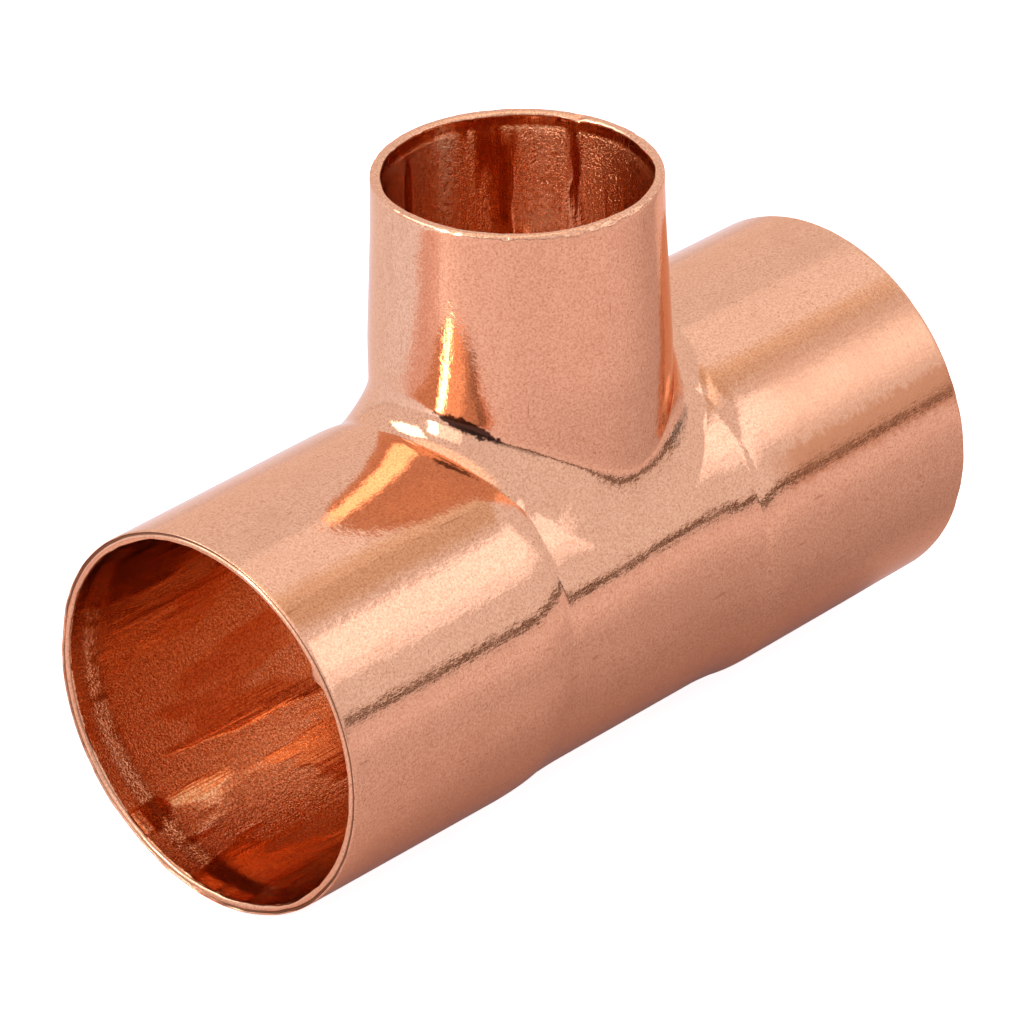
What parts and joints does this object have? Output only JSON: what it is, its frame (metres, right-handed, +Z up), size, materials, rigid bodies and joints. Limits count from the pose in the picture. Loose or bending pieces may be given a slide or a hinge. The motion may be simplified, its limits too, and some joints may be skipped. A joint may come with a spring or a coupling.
{
  "type": "tee fitting",
  "caption": "Copper reducing tee with solder sockets: an equal straight run and a smaller branch drawn out square to it.",
  "frame": {"origin": "crossing of the run's axis and the branch's axis", "axes": "+X along the run, +Z up the branch out of its mouth, Y across the run"},
  "size_m": [0.0542, 0.0244, 0.0379],
  "materials": {
    "copper": "satin"
  },
  "bodies": {
    "root": {"tee_body": "copper"}
  },
  "joints": []
}
